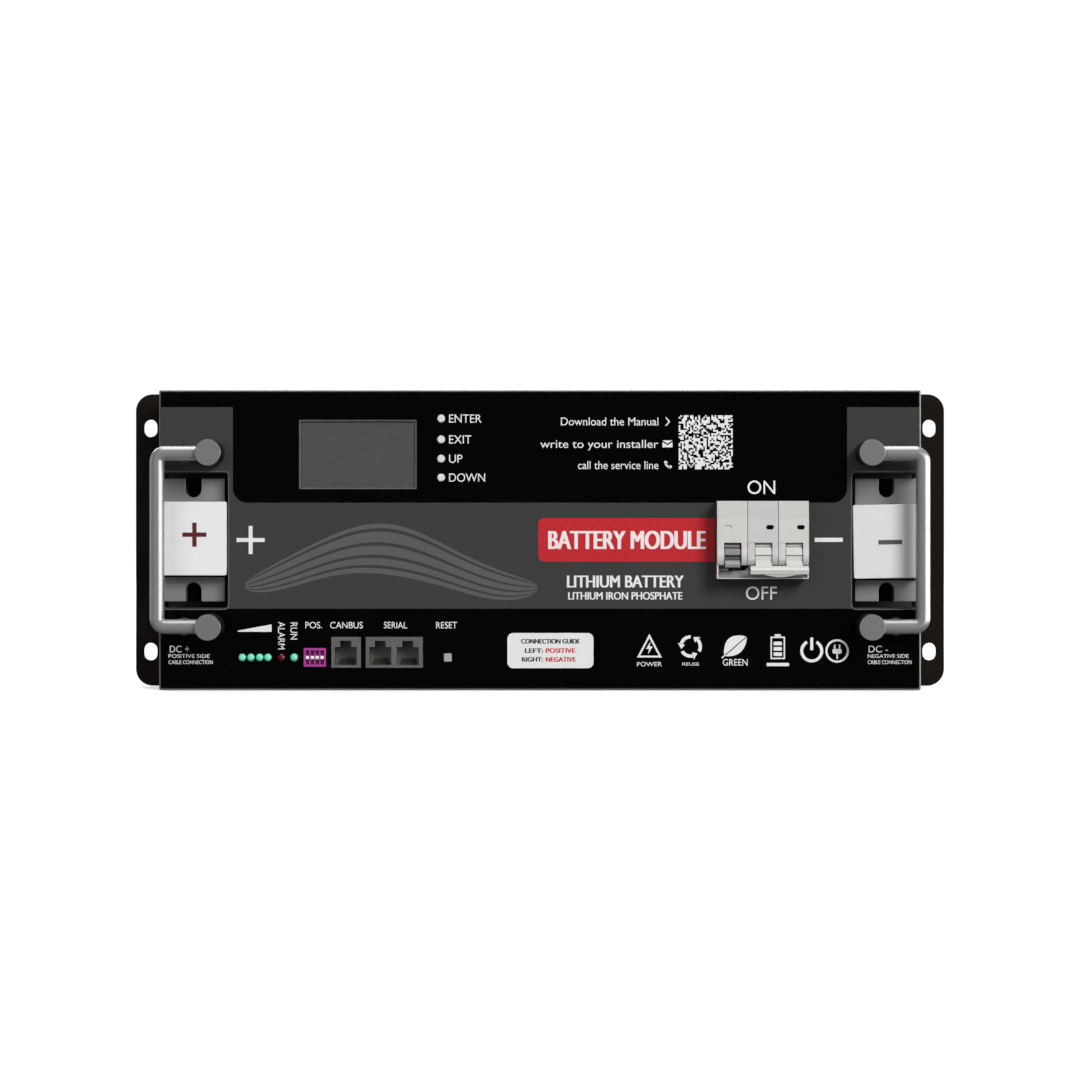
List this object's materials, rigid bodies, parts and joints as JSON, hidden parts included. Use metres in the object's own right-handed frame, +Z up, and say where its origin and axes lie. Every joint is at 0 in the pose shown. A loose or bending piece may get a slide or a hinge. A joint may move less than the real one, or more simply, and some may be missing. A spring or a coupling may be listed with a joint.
{
  "type": "server rack battery",
  "caption": "Rack-mount battery case with a printed control front, bar handles, recessed side terminals, a breaker, display, keys, indicator lights and data sockets.",
  "frame": {"origin": "centre of the overall box at the underside of the case", "axes": "+X to the right seen from the front, -Y out of the front panel, +Z up"},
  "size_m": [0.4826, 0.54, 0.174],
  "materials": {
    "case_paint": "satin black powder coat",
    "overlay_film": "gloss printed film",
    "handle_steel": "satin",
    "zinc_steel": "zinc plated",
    "grey_plastic": "gloss moulded",
    "white_plastic": "gloss moulded",
    "breaker_plastic": "fine matt moulded",
    "lever_plastic": "fine matt moulded",
    "switch_plastic": "moulded",
    "green_lens": "clear tinted",
    "red_lens": "clear tinted",
    "display_acrylic": "gloss",
    "copper": "tinned edge copper strip",
    "aluminium": "mill",
    "board_laminate": "solder mask",
    "cell_wrap": "film-wrapped aluminium can"
  },
  "bodies": {
    "case": {"base_tray": "case_paint", "top_cover": "case_paint", "rear_panel": "case_paint", "front_bezel": "case_paint", "front_overlay": "overlay_film", "rack_ear_left": "case_paint", "rack_ear_right": "case_paint", "handle_bar_left": "handle_steel", "handle_bar_right": "handle_steel", "handle_post_left_lower": "handle_steel", "handle_post_left_upper": "handle_steel", "handle_post_right_lower": "handle_steel", "handle_post_right_upper": "handle_steel", "panel_screw_1": "zinc_steel", "panel_screw_2": "zinc_steel", "panel_screw_3": "zinc_steel", "panel_screw_4": "zinc_steel", "positive_terminal_base": "grey_plastic", "positive_busbar": "copper", "positive_terminal_bolt": "zinc_steel", "negative_terminal_base": "grey_plastic", "negative_busbar": "copper", "negative_terminal_bolt": "zinc_steel", "shunt_trip_module": "breaker_plastic", "breaker_pole_left": "breaker_plastic", "breaker_pole_right": "breaker_plastic", "din_rail": "zinc_steel", "din_rail_bracket": "zinc_steel", "display_window": "display_acrylic", "display_module": "grey_plastic", "charge_level_light_pipe": "green_lens", "alarm_light_pipe": "red_lens", "run_light_pipe": "green_lens", "address_switch_body": "switch_plastic", "canbus_socket": "grey_plastic", "serial_sockets": "grey_plastic", "interface_board": "board_laminate", "bms_board": "board_laminate", "bms_heatsink": "aluminium", "cell_module_left_front": "cell_wrap", "cell_module_left_rear": "cell_wrap", "cell_module_right_front": "cell_wrap", "cell_module_right_rear": "cell_wrap", "front_compression_plate": "aluminium", "rear_compression_plate": "aluminium", "cell_link_carrier": "grey_plastic"},
    "breaker_toggle": {"breaker_toggle": "white_plastic"},
    "trip_lever": {"shunt_trip_lever": "lever_plastic"},
    "enter_key": {"enter_button": "white_plastic"},
    "exit_key": {"exit_button": "white_plastic"},
    "up_key": {"up_button": "white_plastic"},
    "down_key": {"down_button": "white_plastic"},
    "reset_key": {"reset_button": "white_plastic"},
    "address_slider_1": {"address_slider_1": "white_plastic"},
    "address_slider_2": {"address_slider_2": "white_plastic"},
    "address_slider_3": {"address_slider_3": "white_plastic"},
    "address_slider_4": {"address_slider_4": "white_plastic"},
    "positive_cover": {"positive_terminal_cover": "white_plastic"},
    "negative_cover": {"negative_terminal_cover": "white_plastic"}
  },
  "joints": [
    {"name": "breaker_swing", "type": "hinge", "parent": "case", "child": "breaker_toggle", "pos_m": [0.137, -0.2535, 0.0788], "axis": [-1, 0, 0], "range_deg": [0, 58]},
    {"name": "trip_lever_swing", "type": "hinge", "parent": "case", "child": "trip_lever", "pos_m": [0.1105, -0.2535, 0.0788], "axis": [-1, 0, 0], "range_deg": [0, 58]},
    {"name": "enter_press", "type": "slide", "parent": "case", "child": "enter_key", "axis": [0, 1, 0], "range_m": [0, 0.0008], "stiffness_N_per_m": 300, "springref_m": -0.0008},
    {"name": "exit_press", "type": "slide", "parent": "case", "child": "exit_key", "axis": [0, 1, 0], "range_m": [0, 0.0008], "stiffness_N_per_m": 300, "springref_m": -0.0008},
    {"name": "up_press", "type": "slide", "parent": "case", "child": "up_key", "axis": [0, 1, 0], "range_m": [0, 0.0008], "stiffness_N_per_m": 300, "springref_m": -0.0008},
    {"name": "down_press", "type": "slide", "parent": "case", "child": "down_key", "axis": [0, 1, 0], "range_m": [0, 0.0008], "stiffness_N_per_m": 300, "springref_m": -0.0008},
    {"name": "reset_press", "type": "slide", "parent": "case", "child": "reset_key", "axis": [0, 1, 0], "range_m": [0, 0.0008], "stiffness_N_per_m": 300, "springref_m": -0.0008},
    {"name": "address_slide_1", "type": "slide", "parent": "case", "child": "address_slider_1", "axis": [0, 0, 1], "range_m": [-0.0028, 0.0028]},
    {"name": "address_slide_2", "type": "slide", "parent": "case", "child": "address_slider_2", "axis": [0, 0, 1], "range_m": [-0.0028, 0.0028]},
    {"name": "address_slide_3", "type": "slide", "parent": "case", "child": "address_slider_3", "axis": [0, 0, 1], "range_m": [-0.0028, 0.0028]},
    {"name": "address_slide_4", "type": "slide", "parent": "case", "child": "address_slider_4", "axis": [0, 0, 1], "range_m": [-0.0028, 0.0028]},
    {"name": "positive_cover_pull", "type": "slide", "parent": "case", "child": "positive_cover", "axis": [0, -1, 0], "range_m": [0, 0.009]},
    {"name": "negative_cover_pull", "type": "slide", "parent": "case", "child": "negative_cover", "axis": [0, -1, 0], "range_m": [0, 0.009]}
  ]
}
